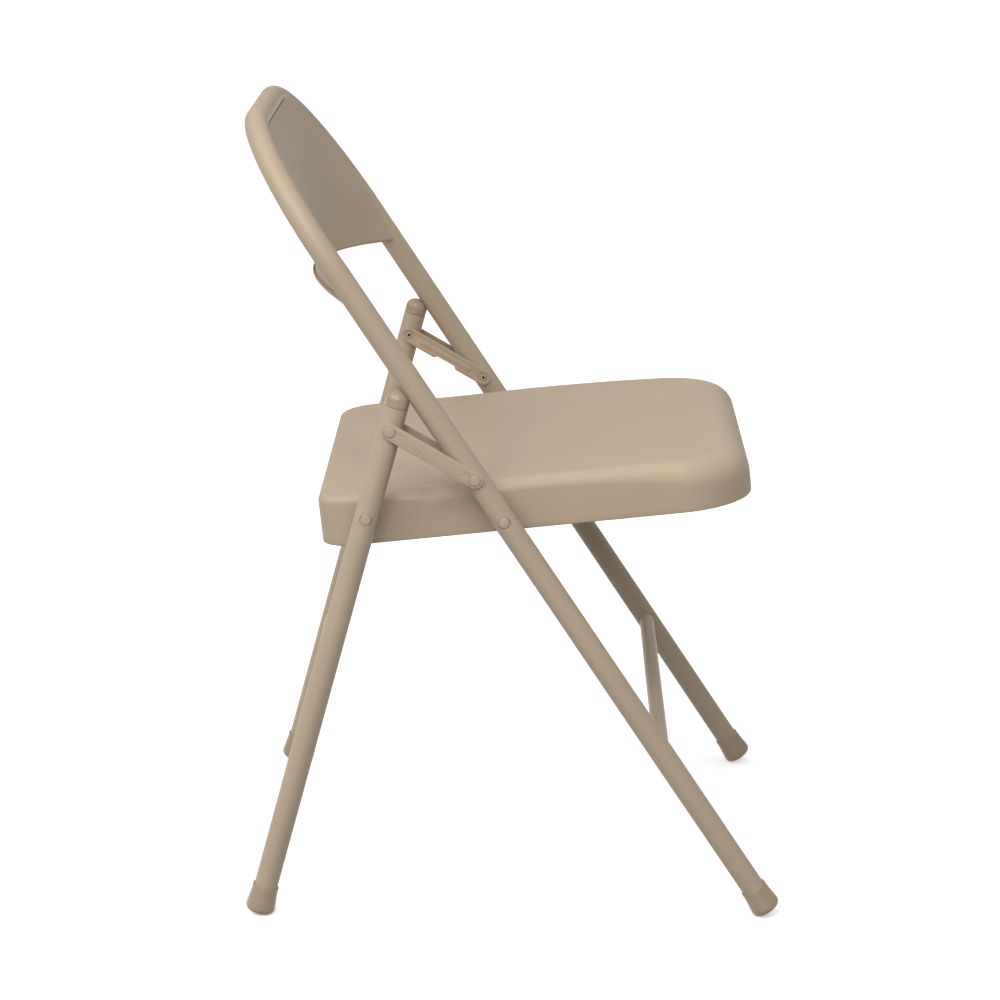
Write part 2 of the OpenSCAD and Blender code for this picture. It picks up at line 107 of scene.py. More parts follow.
class Wire:
    """A socket of a node tree. Arithmetic on it adds Math nodes, and node() adds any other.

    node() takes the new node's settings, then a value or a wire for each of its input sockets."""

    def __init__(self, tree, socket=None):
        self.tree = tree
        self.socket = socket

    def node(self, kind, settings=None, sockets=None, out=0):
        made = self.tree.nodes.new(kind)
        for name, value in (settings or {}).items():
            if name == "stops":
                for stop, (position, level) in zip(made.color_ramp.elements, value):
                    stop.position = position
                    stop.color = (level, level, level, 1)
            else:
                setattr(made, name, value)
        for name, value in (sockets or {}).items():
            if isinstance(value, Wire):
                self.tree.links.new(value.socket, made.inputs[name])
            else:
                made.inputs[name].default_value = value
        return Wire(self.tree, made.outputs[out] if made.outputs else None)

    def maths(self, operation, first, second):
        return self.node("ShaderNodeMath", {"operation": operation}, {0: first, 1: second})

    def __add__(self, other):
        return self.maths("ADD", self, other)

    __radd__ = __add__

    def __mul__(self, other):
        return self.maths("MULTIPLY", self, other)

    def __sub__(self, other):
        return self.maths("SUBTRACT", self, other)

    def __rsub__(self, other):
        return self.maths("SUBTRACT", other, self)

    def __truediv__(self, other):
        return self.maths("DIVIDE", self, other)

    def __pow__(self, other):
        return self.maths("POWER", self, other)


world = bpy.data.worlds.new("studio")
world.use_nodes = True
world.node_tree.nodes.clear()
sky = Wire(world.node_tree)
height = sky.node("ShaderNodeSeparateXYZ", {}, {0: sky.node("ShaderNodeTexCoord")}, 2)
glow = sky.node("ShaderNodeValToRGB", {"stops": ((0.45, 0.2), (0.74, 0.67))},
                {"Fac": height * 0.5 + 0.5})
backdrop = sky.node("ShaderNodeBackground", {}, {"Color": glow, "Strength": 1.0})
sky.node("ShaderNodeOutputWorld", {}, {"Surface": backdrop})
bpy.context.scene.world = world

# ---- Tubes of the frame ----
# The front frame is one length of 22 mm steel tube, bent twice, and the rear legs are two straight
# lengths of it. They are powder coated beige after welding, so every steel piece has one finish:
# a fine pebbled skin with a low sheen, and a few dark specks where dust was baked in.


def new_material(name):
    """An empty material, and a wire that adds nodes to it."""
    material = bpy.data.materials.new(name)
    material.use_nodes = True
    material.node_tree.nodes.clear()
    return material, Wire(material.node_tree)


# Dark colour of the baked-in dust specks, and of the painted shade in crevices and grooves.
dust_and_shade = (0.09, 0.07, 0.05, 1)


def powder_coat(name, light, dark, roughness):
    """Powder coat: two shades of beige in a fine grain over a pebbled skin, dust specks, and
    painted shade in crevices.
    """
    material, wire = new_material(name)
    place = wire.node("ShaderNodeTexCoord", out=3)
    cloud = wire.node("ShaderNodeTexNoise", {}, {"Vector": place, "Scale": 9.0, "Detail": 3.0})
    grain = wire.node("ShaderNodeTexNoise", {}, {"Vector": place, "Scale": 900.0, "Detail": 2.0})
    pebble = wire.node("ShaderNodeTexNoise", {}, {"Vector": place, "Scale": 420.0, "Detail": 1.0})
    cell = wire.node("ShaderNodeTexVoronoi", {}, {"Vector": place, "Scale": 26.0})
    speck = wire.node("ShaderNodeValToRGB", {"stops": ((0.018, 1.0), (0.026, 0.0))}, {"Fac": cell})
    shade = 0.5 + (cloud - 0.5) * 0.9 + (grain - 0.5) * 1.3
    # The crevice attribute marks grooves and holes, where painted shade darkens the coat.
    crevice_shade = wire.node("ShaderNodeAttribute", {"attribute_name": "crevice_shade"}, out="Fac")
    coat = wire.node("ShaderNodeMix", {"data_type": "RGBA"}, {0: shade, 6: dark, 7: light}, 2)
    # Mixes in the dark colour: real dust specks, and painted shade in the crevices.
    specks_and_shade = wire.node("ShaderNodeMix", {"data_type": "RGBA"},
                      {0: speck * 0.45 + crevice_shade * 0.9, 6: coat, 7: dust_and_shade}, 2)
    skin = wire.node("ShaderNodeBump", {}, {"Strength": 0.22, "Distance": 0.12 * mm,
                                            "Height": pebble + grain * 0.4})
    steel = wire.node("ShaderNodeBsdfPrincipled", {}, {
        "Base Color": specks_and_shade, "Roughness": roughness + (cloud - 0.5) * 0.12,
        "Specular IOR Level": 0.42, "Normal": skin})
    wire.node("ShaderNodeOutputMaterial", {}, {"Surface": steel})
    return material


beige = (0.475, 0.375, 0.272, 1)
beige_shade = (0.405, 0.312, 0.219, 1)
tube_coat = powder_coat("tube_coat", beige, beige_shade, 0.44)


def coat_node(node, material):
    """Gives a CAD node its finish."""
    frame["nodes"][node].data.materials.clear()
    frame["nodes"][node].data.materials.append(material)


for tube in ("front_frame", "rear_leg_right", "rear_leg_left"):
    coat_node(tube, tube_coat)

# ---- Back rest ----
# One pressed steel sheet, bowed back in its lower half. Its sides are welded to the inner faces of
# the tubes, its straight top edge stops just short of the top rail, and its lower edge is rolled
# back into an open curl that is safe to hold. The top edge is turned back against the rail.

joints = {joint["name"]: joint for joint in frame["joints"]}
seat_pivot = Vector(joints["seat_fold"]["pos_m"])
link_pivot = Vector(joints["link_swing"]["pos_m"])
leg_up = (link_pivot - seat_pivot).normalized()
leg_back = Vector((0, leg_up.z, -leg_up.y))
leg_foot = seat_pivot - leg_up * (seat_pivot.z / leg_up.z)
leg_half = (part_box("front_foot_left")[0].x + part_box("front_foot_left")[1].x) / 2
tube_r = (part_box("rear_leg_left")[1].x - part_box("rear_leg_left")[0].x) / 2


def on_leg(across, station, back=0.0):
    """A point in the frame of the front legs: across, up along them, and backward from them."""
    return leg_foot + Vector((across, 0, 0)) + leg_up * station + leg_back * back


def smooth(t):
    """An eased step from 0 to 1."""
    t = min(max(t, 0.0), 1.0)
    return t * t * (3 - 2 * t)


bend_r = 143.5 * mm
bend_s = 735.9 * mm
top_lean = math.tan(math.radians(1.04))
panel_low = 681 * mm
panel_top = 870 * mm
panel_bow = 48 * mm
panel_arch = 45 * mm
panel_t = 1 * mm
curl_r = 2.3 * mm
curl_turn = math.radians(238)
curl_rows = 14
flange = 4.5 * mm
flange_r = 0.8 * mm
flange_rows = 5
panel_rows = 60
panel_columns = 120
edge_turn_low = 15
edge_turn_more = 33
edge_rise = 75 * mm
weld_gap = 0.25 * mm
rim_round = 0.3 * mm


def panel_edge(station):
    """Half the panel's width, and its distance in front of the tubes' plane, where it lands."""
    turn = math.radians(edge_turn_low + edge_turn_more * smooth((station - panel_low) / edge_rise))
    reach = tube_r + weld_gap + panel_t * math.sin(turn)
    inside = bend_r - reach * math.cos(turn)
    rise = max(station - bend_s, 0.0)
    half = leg_half - bend_r + math.sqrt(inside * inside - rise * rise)
    return half, reach * math.sin(turn) - rise * top_lean


def panel_point(t, station, behind):
    """A point of the panel's front face: t runs from -1 to 1 across it."""
    up = min((station - panel_low) / (panel_top - panel_low), 1.0)
    half, ahead = panel_edge(station)
    belly = 1 - abs(t) ** 1.9
    ahead -= panel_bow * (1 - up) ** 1.15 * belly
    return on_leg(half * t, station + panel_arch * (1 - up) ** 1.3 * belly, behind - ahead)


def skin(name, rings, closed, material, first=None, last=None):
    """A mesh object whose faces join each ring of points to the next, and its ends to poles."""
    count = len(rings[0])
    points = [point for ring in rings for point in ring]
    faces = []
    if first is not None:
        faces += [(len(points), (j + 1) % count, j) for j in range(count)]
        points.append(first)
    if last is not None:
        end = count * (len(rings) - 1)
        faces += [(len(points), end + j, end + (j + 1) % count) for j in range(count)]
        points.append(last)
    for i in range(len(rings) - 1):
        for j in range(count if closed else count - 1):
            k = (j + 1) % count
            faces.append((i * count + j, i * count + k, (i + 1) * count + k, (i + 1) * count + j))
    mesh = bpy.data.meshes.new(name)
    mesh.from_pydata(points, [], faces)
    mesh.polygons.foreach_set("use_smooth", [True] * len(faces))
    mesh.materials.append(material)
    made = bpy.data.objects.new(name, mesh)
    bpy.context.scene.collection.objects.link(made)
    return made


def thicken(made, thickness, rim):
    """Gives a sheet its thickness, behind the face it was drawn on, and rounds its cut edges."""
    wall = made.modifiers.new("wall", "SOLIDIFY")
    wall.thickness = thickness
    wall.offset = -1
    wall.use_even_offset = True
    edge = made.modifiers.new("edge", "BEVEL")
    edge.width = rim
    edge.segments = 2
    edge.limit_method = "ANGLE"
    edge.angle_limit = math.radians(50)
    edge.harden_normals = True


columns = [2 * j / panel_columns - 1 for j in range(panel_columns + 1)]
curl_mid = panel_low + curl_r
panel_rings = []
for i in range(curl_rows, 0, -1):
    turn = curl_turn * i / curl_rows
    panel_rings.append([panel_point(t, curl_mid - curl_r * math.sin(turn),
                                    curl_r - curl_r * math.cos(turn)) for t in columns])
for i in range(panel_rows + 1):
    station = curl_mid + (panel_top - curl_mid) * i / panel_rows
    panel_rings.append([panel_point(t, station, 0.0) for t in columns])
for k in range(1, flange_rows + 1):
    turn = math.pi / 2 * min(k / (flange_rows - 1), 1)
    straight_back = flange if k == flange_rows else 0.0
    panel_rings.append([panel_point(t, panel_top + flange_r * math.sin(turn),
                                    flange_r - flange_r * math.cos(turn) + straight_back)
                        for t in columns])
sheet_coat = powder_coat("sheet_coat", beige, (0.41, 0.317, 0.224, 1), 0.56)
back_rest = skin("back_rest", panel_rings, False, sheet_coat)
thicken(back_rest, panel_t, rim_round)
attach(back_rest, "frame")
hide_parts("back_panel")

# ---- Seat ----
# One deep-drawn steel sheet. The edge rolls over tightly at the rear and ever more fully towards
# the front, the skirt hangs straight down to a hem folded inward, and the top is lightly dished.

seat_lean = math.radians(6)
seat_ahead = Vector((0, -math.cos(seat_lean), math.sin(seat_lean)))
seat_up = Vector((0, math.sin(seat_lean), math.cos(seat_lean)))
seat_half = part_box("seat_pan")[1].x
seat_front = 231.5 * mm
seat_back = 172.5 * mm
seat_top = 31.5 * mm
seat_drop = 16.5 * mm
front_corner = 66 * mm
rear_corner = 30 * mm
roll_front = 25 * mm
roll_rear = 7 * mm
dish = 5 * mm
seat_t = 1 * mm
hem_r = 1.4 * mm
roll_waist = 6 * mm
waist_depth = 1.4 * mm
waist_rear = 122 * mm
waist_front = 40 * mm
waist_blend_rear = 62 * mm
waist_blend_front = 84 * mm
crest_fall = 2.6 * mm


def on_seat(across, ahead, up):
    """A point in the frame of the seat: across, forward from its pivot, and up."""
    return seat_pivot + Vector((across, 0, 0)) + seat_ahead * ahead + seat_up * up


def corner(x, f, r, start, steps=26):
    """A quarter arc of the plan outline: across, ahead, and the outward direction."""
    turns = [math.radians(start + 90 * k / steps) for k in range(steps + 1)]
    return [(x + r * math.cos(a), f + r * math.sin(a), math.cos(a), math.sin(a)) for a in turns]


def straight(p, q, steps):
    """The points between two ends of a straight stretch of the outline."""
    return [(p[0] + (q[0] - p[0]) * k / steps, p[1] + (q[1] - p[1]) * k / steps, p[2], p[3])
            for k in range(1, steps)]


front_x, front_f = seat_half - front_corner, seat_front - front_corner
rear_x, rear_f = seat_half - rear_corner, rear_corner - seat_back
quarters = [corner(front_x, front_f, front_corner, 0), corner(-front_x, front_f, front_corner, 90),
            corner(-rear_x, rear_f, rear_corner, 180), corner(rear_x, rear_f, rear_corner, 270)]
outline = []
for k, steps in enumerate((26, 40, 26, 40)):
    outline += quarters[k] + straight(quarters[k][-1], quarters[(k + 1) % 4][0], steps)


def roll_at(p):
    """Radius of the rolled edge: tight at the rear, fuller to the front and at the waist."""
    along = smooth((p[1] + seat_back) / (seat_front + seat_back))
    fuller = smooth((p[1] - 90 * mm) / (140 * mm))
    even = roll_rear + (roll_front - roll_rear) * (0.45 * along + 0.55 * fuller)
    return even + roll_waist * waist(p)


def waist(p):
    """Share, from 0 to 1, of the waist pressed into each side where the legs pass it."""
    return abs(p[2]) ** 4 * smooth((p[1] + waist_rear) / waist_blend_rear) * smooth(
        (waist_front - p[1]) / waist_blend_front)


def crest(ahead):
    """Height of the seat's rim, which falls away a little to the front and the rear."""
    return seat_top - crest_fall * (ahead / (200 * mm)) ** 2


roll_rings = 18
dish_rings = 16
mid_f = (seat_front - seat_back) / 2
rings = []
for k in range(1, dish_rings):
    t = k / dish_rings
    ring = []
    for p in outline:
        x, f = p[0] - roll_at(p) * p[2], p[1] - roll_at(p) * p[3]
        height = crest(mid_f + (p[1] - mid_f) * t) - dish * (1 - t * t) * (1 - 0.35 * t)
        ring.append(on_seat(x * t, mid_f + (f - mid_f) * t, height))
    rings.append(ring)
for k in range(roll_rings, -1, -1):
    turn = math.pi / 2 * k / roll_rings
    ring = []
    for p in outline:
        r = roll_at(p)
        hollow = waist_depth * waist(p) * math.sin(2 * turn) ** 2
        inward = r * (1 - math.cos(turn)) + hollow * math.sin(turn)
        ring.append(on_seat(p[0] - inward * p[2], p[1] - inward * p[3],
                            crest(p[1]) - r + r * math.sin(turn) - hollow * math.cos(turn)))
    rings.append(ring)
for drop in (0.3, 0.6, 0.85):
    rings.append([on_seat(p[0], p[1], (crest(p[1]) - roll_at(p)) * (1 - drop)
                          - (seat_drop - hem_r) * drop) for p in outline])
for k in range(9):
    turn = math.pi * 1.15 * k / 8
    inward = hem_r - hem_r * math.cos(turn)
    rings.append([on_seat(p[0] - inward * p[2], p[1] - inward * p[3],
                          hem_r - seat_drop - hem_r * math.sin(turn)) for p in outline])
seat_sheet = skin("seat_sheet", rings, True, sheet_coat, on_seat(0, mid_f, crest(mid_f) - dish))
thicken(seat_sheet, seat_t, rim_round)
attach(seat_sheet, "seat")
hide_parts("seat_pan")

# ---- Cross braces and welds ----
# Two lengths of 15 mm tube tie the legs together. Their ends are coped to the legs and run round
# with a weld bead, whose ripples show through the paint. Short beads also hold the back rest.

bead_tree = bpy.data.node_groups.new("weld_bead", "GeometryNodeTree")
for label, kind in (("Path", "NodeSocketGeometry"), ("Bead radius", "NodeSocketFloat"),
                    ("Ripple length", "NodeSocketFloat"), ("Ripple depth", "NodeSocketFloat"),
                    ("End taper", "NodeSocketFloat"), ("Finish", "NodeSocketMaterial")):
    bead_tree.interface.new_socket(label, in_out="INPUT", socket_type=kind)
bead_tree.interface.new_socket("Bead", in_out="OUTPUT", socket_type="NodeSocketGeometry")
weld = Wire(bead_tree)
given = bead_tree.nodes.new("NodeGroupInput")
path = weld.node("GeometryNodeMeshToCurve", {}, {"Mesh": Wire(bead_tree, given.outputs["Path"])})
run = weld.node("GeometryNodeSplineParameter", {}, {}, 1)
part = weld.node("GeometryNodeSplineParameter", {}, {}, 0)
wave = weld.node("ShaderNodeMath", {"operation": "SINE"},
                 {0: run * math.pi / Wire(bead_tree, given.outputs["Ripple length"])})
swell = weld.node("ShaderNodeMath", {"operation": "ABSOLUTE"}, {0: wave})
wander = weld.node("ShaderNodeTexNoise", {}, {"Scale": 220.0, "Detail": 1.0})
end = weld.node("ShaderNodeMath", {"operation": "ABSOLUTE"}, {0: part * 2 - 1})
taper = 1 - (end ** 4) * Wire(bead_tree, given.outputs["End taper"])
depth = Wire(bead_tree, given.outputs["Ripple depth"])
fullness = (1 - depth + depth * swell + (wander - 0.5) * 0.3) * taper
ring = weld.node("GeometryNodeCurvePrimitiveCircle", {}, {
    "Resolution": 12, "Radius": Wire(bead_tree, given.outputs["Bead radius"])})
bead = weld.node("GeometryNodeCurveToMesh", {}, {
    "Curve": path, "Profile Curve": ring, "Scale": fullness, "Fill Caps": True})
rounded = weld.node("GeometryNodeSetShadeSmooth", {}, {"Geometry": bead})
whole = weld.node("GeometryNodeRealizeInstances", {}, {"Geometry": rounded})
coated = weld.node("GeometryNodeSetMaterial", {}, {
    "Geometry": whole, "Material": Wire(bead_tree, given.outputs["Finish"])})
weld.node("NodeGroupOutput", {}, {"Bead": coated})


def grown(name, source, tree, values):
    """The plain mesh that a tree of geometry nodes makes from a mesh, with the inputs given."""
    holder = bpy.data.objects.new(name + "_source", source)
    bpy.context.scene.collection.objects.link(holder)
    growth = holder.modifiers.new("growth", "NODES")
    growth.node_group = tree
    for item in tree.interface.items_tree:
        if item.in_out == "INPUT" and item.name in values:
            growth[item.identifier] = values[item.name]
    graph = bpy.context.evaluated_depsgraph_get()
    mesh = bpy.data.meshes.new_from_object(holder.evaluated_get(graph))
    mesh.name = name
    bpy.data.objects.remove(holder)
    made = bpy.data.objects.new(name, mesh)
    bpy.context.scene.collection.objects.link(made)
    return made


def weld_beads(name, paths, closed, radius, body):
    """Weld beads along paths of points, in one piece that rides on a body."""
    points = [point for path in paths for point in path]
    edges = []
    start = 0
    for path in paths:
        edges += [(start + k, start + k + 1) for k in range(len(path) - 1)]
        if closed:
            edges.append((start + len(path) - 1, start))
        start += len(path)
    lines = bpy.data.meshes.new(name + "_paths")
    lines.from_pydata(points, edges, [])
    made = grown(name, lines, bead_tree, {
        "Bead radius": radius, "Ripple length": 2.2 * mm, "Ripple depth": 0.3,
        "End taper": 0.0 if closed else 0.85, "Finish": tube_coat})
    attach(made, body)


def middle(node):
    """The centre of a node's box."""
    low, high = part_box(node)
    return (low + high) / 2


def saddles(brace, up):
    """The closed lines where both ends of a brace meet the legs, just outside the joint."""
    low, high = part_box(brace)
    centre = (low + high) / 2
    across = Vector((0, up.z, -up.y))
    around = (high.z - low.z) / 2 + 0.5 * mm
    reach = tube_r + 0.5 * mm
    turns = [2 * math.pi * k / 120 for k in range(120)]
    return [[centre + Vector((side * (leg_half - math.sqrt(reach ** 2
             - (around * math.cos(a)) ** 2)), 0, 0)) + across * around * math.cos(a)
             + up * around * math.sin(a) for a in turns] for side in (-1, 1)]


seat_rear_pivot = middle("seat_rear_rivets")
link_rear_pivot = Vector(joints["rear_leg_fold"]["pos_m"])
rear_up = Vector((0, link_rear_pivot.y - seat_rear_pivot.y,
                  link_rear_pivot.z - seat_rear_pivot.z)).normalized()
coat_node("front_cross_brace", tube_coat)
coat_node("rear_cross_brace", tube_coat)
brace_bead = 1.4 * mm
back_bead = 1.7 * mm
back_bead_len = 16 * mm
weld_beads("front_brace_welds", saddles("front_cross_brace", leg_up), True, brace_bead, "frame")
weld_beads("rear_brace_welds", saddles("rear_cross_brace", rear_up), True, brace_bead, "rear_legs")

back_welds = []
for side in (-1, 1):
    for start in (686 * mm, 742 * mm, 800 * mm):
        back_welds.append([panel_point(side, start + back_bead_len * k / 16, panel_t + 0.5 * mm)
                           + Vector((side * 0.3 * mm, 0, 0)) for k in range(17)])
weld_beads("back_rest_welds", back_welds, False, back_bead, "frame")

# ---- Feet ----
# A soft plastic cup is pushed over the open end of each leg. It is a browner beige than the
# paint, flares a little to its rounded sole, and has a rounded lip and a worn flat underneath.

foot_r = (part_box("front_foot_left")[1].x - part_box("front_foot_left")[0].x) / 2
foot_len = 27 * mm
sole_round = 5.6 * mm
lip = 0.7 * mm
flare = 0.75 * mm


def moulded(name, colour, dark, roughness):
    """Plain moulded plastic: nearly smooth, a little cloudy, dirtier where it meets a floor, and
    with painted shade in crevices.
    """
    material, wire = new_material(name)
    place = wire.node("ShaderNodeTexCoord", out=3)
    cloud = wire.node("ShaderNodeTexNoise", {}, {"Vector": place, "Scale": 70.0, "Detail": 3.0})
    fine = wire.node("ShaderNodeTexNoise", {}, {"Vector": place, "Scale": 800.0, "Detail": 2.0})
    height = wire.node("ShaderNodeSeparateXYZ", {}, {0: place}, 2)
    scuffed = wire.node("ShaderNodeValToRGB", {"stops": ((0.02, 1.0), (0.3, 0.0))},
                        {"Fac": height / (20 * mm)})
    tone = wire.node("ShaderNodeMix", {"data_type": "RGBA"},
                     {0: 0.5 + (cloud - 0.5) * 0.8 + scuffed * 0.5, 6: colour, 7: dark}, 2)
    skin_bump = wire.node("ShaderNodeBump", {}, {"Strength": 0.06, "Distance": 0.1 * mm,
                                                 "Height": fine})
    # Painted shade: crevices of the profile are darkened towards a near-black brown.
    crevice_shade = wire.node("ShaderNodeAttribute", {"attribute_name": "crevice_shade"}, out="Fac")
    tone = wire.node("ShaderNodeMix", {"data_type": "RGBA"},
                     {0: crevice_shade * 0.75, 6: tone, 7: (0.08, 0.055, 0.035, 1)}, 2)
    plastic = wire.node("ShaderNodeBsdfPrincipled", {}, {
        "Base Color": tone, "Roughness": roughness + (cloud - 0.5) * 0.15 + scuffed * 0.2,
        "Normal": skin_bump})
    wire.node("ShaderNodeOutputMaterial", {}, {"Surface": plastic})
    return material


def arc(centre_r, centre_z, r, start, end, steps):
    """Points of an arc in a lathe profile, each a radius and a height, angles in degrees."""
    turns = [math.radians(start + (end - start) * k / steps) for k in range(steps + 1)]
    return [(centre_r + r * math.cos(a), centre_z + r * math.sin(a)) for a in turns]


def turned(name, profile, foot, up, material, first=None, last=None, steps=72):
    """A piece turned about an axis through foot along up. Poles are heights on the axis.

    A profile point is a radius and a height, and a third value, the share of painted shade in a
    crevice."""
    side = up.orthogonal().normalized()
    other = side.cross(up).normalized()
    rings = []
    for r, z, *_ in profile:
        rings.append([foot + up * z + side * r * math.cos(2 * math.pi * k / steps)
                      + other * r * math.sin(2 * math.pi * k / steps) for k in range(steps)])
    poles = [None if z is None else foot + up * z for z in (first, last)]
    made = skin(name, rings, True, material, *poles)
    crevice_shade = made.data.attributes.new("crevice_shade", "FLOAT", "POINT")
    for i, point in enumerate(profile):
        for k in range(steps):
            crevice_shade.data[i * steps + k].value = point[2] if len(point) > 2 else 0.0
    return made


foot_plastic = moulded("foot_plastic", (0.40, 0.296, 0.2, 1), (0.335, 0.243, 0.158, 1), 0.27)
cup = [(r, 0.0) for r in (3 * mm, 6 * mm, 8.4 * mm)]
cup += arc(foot_r + flare - sole_round, sole_round, sole_round, -90, 0, 10)
cup += [(foot_r + flare * (1 - 2 * k / 6), sole_round + (foot_len - 2 * sole_round) * k / 6)
        for k in range(1, 7)]
cup += arc(foot_r - flare - lip, foot_len - lip, lip, 0, 120, 6)
cup += [(tube_r + 0.05 * mm, foot_len - lip * 0.6), (tube_r + 0.02 * mm, foot_len - 3 * mm)]
for end, up, body in (("front", leg_up, "frame"), ("rear", rear_up, "rear_legs")):
    for side_name, side in (("right", -1), ("left", 1)):
        node = end + "_foot_" + side_name
        low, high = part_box(node)
        # The cup's top edge reaches highest at the side it leans from, which fixes its station
        top = high.z - foot_r * abs(up.y)
        heel = seat_pivot if end == "front" else seat_rear_pivot
        axis_foot = Vector((side * leg_half, heel.y - up.y * heel.z / up.z, 0))
        start = top / up.z - foot_len
        foot = turned(node + "_cup", cup, axis_foot + up * start, up, foot_plastic,
                      first=0.0, last=None)
        for vertex in foot.data.vertices:
            vertex.co.z = max(vertex.co.z, 0.0)
        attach(foot, body)
        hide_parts(node)

# ---- Rear leg caps ----
# A glossy plastic plug closes the top of each rear leg. Its collar is as wide as the tube, and its
# rounded crown is hollowed on the side where it rests against the front frame.

cap_plastic = moulded("cap_plastic", (0.385, 0.288, 0.197, 1), (0.34, 0.25, 0.166, 1), 0.19)
cap_start = 509.6 * mm
cap_seam = 0.35 * mm
crown_start = 515.2 * mm
crown_h = 9.6 * mm
crown_power = 2.3
rest_gap = 0.28 * mm
plug_r = tube_r - 1.4 * mm
plug_len = 4 * mm
crown_steps = 22
# The third values darken the seam under the collar with painted shade.
cap_profile = [(plug_r, cap_start - plug_len), (plug_r, cap_start - 0.1 * mm, 0.6),
               (tube_r - cap_seam, cap_start, 0.6),
               (tube_r - 0.1 * mm, cap_start + 0.3 * mm, 0.5), (tube_r, cap_start + 0.6 * mm),
               (tube_r, cap_start + 3 * mm)]
for k in range(crown_steps):
    turn = math.pi / 2 * k / crown_steps
    cap_profile.append((tube_r * math.cos(turn) ** (2 / crown_power),
                        crown_start + crown_h * math.sin(turn) ** (2 / crown_power)))
for side_name, side in (("right", -1), ("left", 1)):
    axis_foot = Vector((side * leg_half, seat_rear_pivot.y
                        - rear_up.y * seat_rear_pivot.z / rear_up.z, 0))
    cap = turned("rear_cap_" + side_name + "_plug", cap_profile, axis_foot, rear_up, cap_plastic,
                 first=cap_start - plug_len, last=crown_start + crown_h)
    for vertex in cap.data.vertices:
        along = (vertex.co - leg_foot).dot(leg_up)
        nearest = on_leg(side * leg_half, along)
        away = vertex.co - nearest
        if away.length < tube_r + rest_gap:
            vertex.co = nearest + away.normalized() * (tube_r + rest_gap)
    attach(cap, "rear_legs")
    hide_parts("rear_cap_" + side_name)

# ---- Links ----
# Two steel plates on each side, blanked with round ends and tumbled so that their edges are
# soft. The outer one has a long shallow panel pressed into it, and the inner one a narrow rib,
# a notch that clears the seat pivot, and a dimple round each rivet.

link_coat = powder_coat("link_coat", beige, beige_shade, 0.42)


def softened(name, node, width, material, body):
    """A copy of a CAD node with its loose triangles joined and its edges rounded."""
    mesh = frame["nodes"][node].data.copy()
    mesh.name = name
    mesh.materials.clear()
    mesh.materials.append(material)
    joined = bmesh.new()
    joined.from_mesh(mesh)
    bmesh.ops.remove_doubles(joined, verts=joined.verts, dist=0.001 * mm)
    bmesh.ops.dissolve_limit(joined, angle_limit=math.radians(0.5), verts=joined.verts,
                             edges=joined.edges)
    for face in joined.faces:
        face.smooth = True
    clean = bpy.data.meshes.new(name)
    joined.to_mesh(clean)
    joined.free()
    clean.materials.append(material)
    made = bpy.data.objects.new(name, clean)
    bpy.context.scene.collection.objects.link(made)
    bpy.data.meshes.remove(mesh)
    edge = made.modifiers.new("edge", "BEVEL")
    edge.width = width
    edge.segments = 3
    edge.limit_method = "ANGLE"
    edge.angle_limit = math.radians(35)
    edge.harden_normals = True
    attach(made, body)
    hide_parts(node)
    return made


link_run = link_rear_pivot - link_pivot
link_len = link_run.length
link_way = link_run.normalized()
link_over = Vector((0, -link_way.z, link_way.y))


def pressing(name, x, out, middle_at, length, width, height, material, body):
    """A long raised panel with round ends, pressed up out of a link's face at x."""
    rings = []
    steps = 16
    slope = 1.6 * mm
    for k in range(7):
        turn = math.pi / 2 * k / 6
        r = width / 2 - slope * (1 - math.cos(turn))
        rise = height * math.sin(turn) - 0.1 * mm * (1 - k / 6)
        ring = []
        for end_sign in (1, -1):
            for j in range(steps + 1):
                a = math.pi * j / steps - math.pi / 2
                along = middle_at + end_sign * (length / 2 - width / 2 + r * math.cos(a))
                ring.append(link_pivot + link_way * along + link_over * (end_sign * r * math.sin(a))
                            + Vector((x + out * rise, 0, 0)))
        rings.append(ring)
    crown = link_pivot + link_way * middle_at + Vector((x + out * height, 0, 0))
    made = skin(name, rings, True, material, None, crown)
    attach(made, body)
    return made


for side_name, side in (("right", -1), ("left", 1)):
    softened("outer_link_" + side_name + "_plate", "outer_link_" + side_name, 0.4 * mm,
             link_coat, "links")
    softened("inner_link_" + side_name + "_plate", "inner_link_" + side_name, 0.3 * mm,
             link_coat, "links")
    outer_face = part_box("outer_link_left")[1].x * side
    inner_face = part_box("inner_link_left")[0].x * side
    pressing("outer_panel_" + side_name, outer_face, side, link_len * 0.5, 66 * mm, 7 * mm,
             0.22 * mm, link_coat, "links")
    pressing("inner_rib_" + side_name, inner_face, -side, link_len * 0.52, 62 * mm, 5.4 * mm,
             0.7 * mm, link_coat, "links")

# ---- Rivets ----
# Painted steel rivets are the pivots, each under a low head in a dimple whose groove is darkened
# with painted shade.
# Those of the links are hollow and rolled over at their inner ends. Those of the seat bear on the
# tube, and a spacer sleeve keeps the seat off the leg.

rivet_coat = powder_coat("rivet_coat", beige, (0.415, 0.322, 0.228, 1), 0.36)

rivet_tree = bpy.data.node_groups.new("rivet_set", "GeometryNodeTree")
for label, kind in (("Places", "NodeSocketGeometry"), ("Rivet", "NodeSocketObject"),
                    ("Finish", "NodeSocketMaterial")):
    rivet_tree.interface.new_socket(label, in_out="INPUT", socket_type=kind)
rivet_tree.interface.new_socket("Rivets", in_out="OUTPUT", socket_type="NodeSocketGeometry")
riveter = Wire(rivet_tree)
given = rivet_tree.nodes.new("NodeGroupInput")
spot = riveter.node("GeometryNodeInputPosition")
sideways = riveter.node("ShaderNodeSeparateXYZ", {}, {0: spot}, 0)
outward = riveter.node("ShaderNodeCombineXYZ", {}, {0: sideways, 1: 0.0, 2: 0.0})
turn = riveter.node("FunctionNodeAlignRotationToVector", {"axis": "Z"}, {"Vector": outward})
pattern = riveter.node("GeometryNodeObjectInfo", {}, {
    "Object": Wire(rivet_tree, given.outputs["Rivet"])}, "Geometry")
